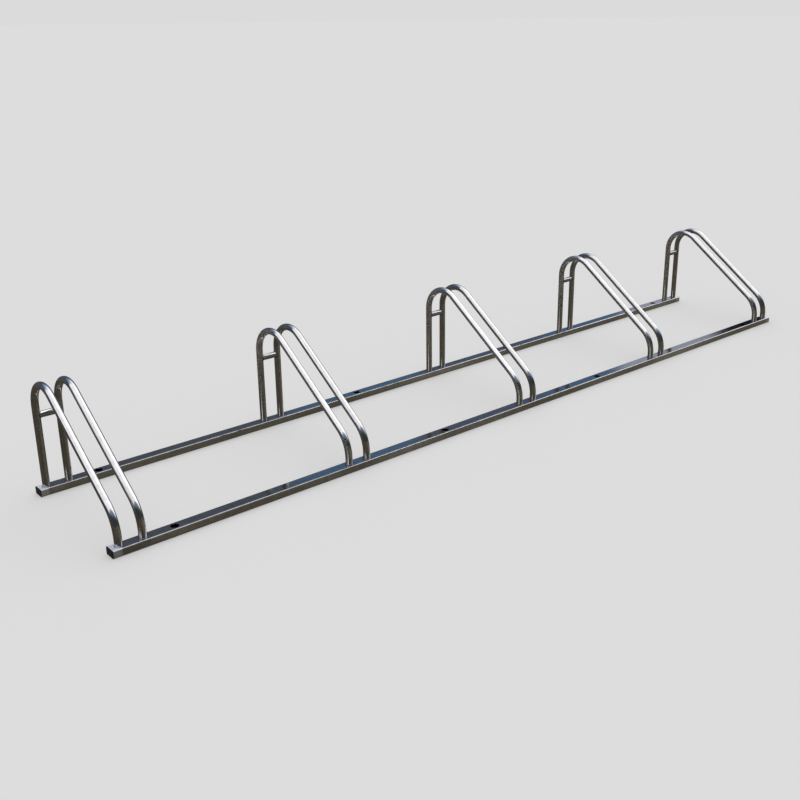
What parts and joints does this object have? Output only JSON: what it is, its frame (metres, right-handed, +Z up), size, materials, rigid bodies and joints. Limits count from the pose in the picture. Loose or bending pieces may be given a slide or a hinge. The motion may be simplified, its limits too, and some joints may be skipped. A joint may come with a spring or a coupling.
{
  "type": "floor bike rack",
  "caption": "Low floor rack of polished stainless tube that holds bicycles by the front wheel between pairs of bent hoops on two flat rails.",
  "frame": {"origin": "on the floor, in the middle of the rack in plan", "axes": "+X along the rails, +Y the way a bicycle rolls in, from the front rail to the rear rail, +Z up"},
  "size_m": [2.704, 0.445, 0.3171],
  "materials": {
    "stainless": "bright polished stainless steel, mirror-like with fine lengthwise polishing lines",
    "weld": "cleaned stainless steel weld bead, satin",
    "plug": "black moulded plastic, matte"
  },
  "bodies": {
    "root": {"front_rail": "stainless", "rear_rail": "stainless", "front_left_plug": "plug", "front_right_plug": "plug", "rear_left_plug": "plug", "rear_right_plug": "plug", "hoop_1_left": "stainless", "hoop_1_right": "stainless", "hoop_2_left": "stainless", "hoop_2_right": "stainless", "hoop_3_left": "stainless", "hoop_3_right": "stainless", "hoop_4_left": "stainless", "hoop_4_right": "stainless", "hoop_5_left": "stainless", "hoop_5_right": "stainless", "crossbar_1": "stainless", "crossbar_2": "stainless", "crossbar_3": "stainless", "crossbar_4": "stainless", "crossbar_5": "stainless", "front_foot_welds": "weld", "rear_foot_welds": "weld", "crossbar_welds": "weld"}
  },
  "joints": []
}
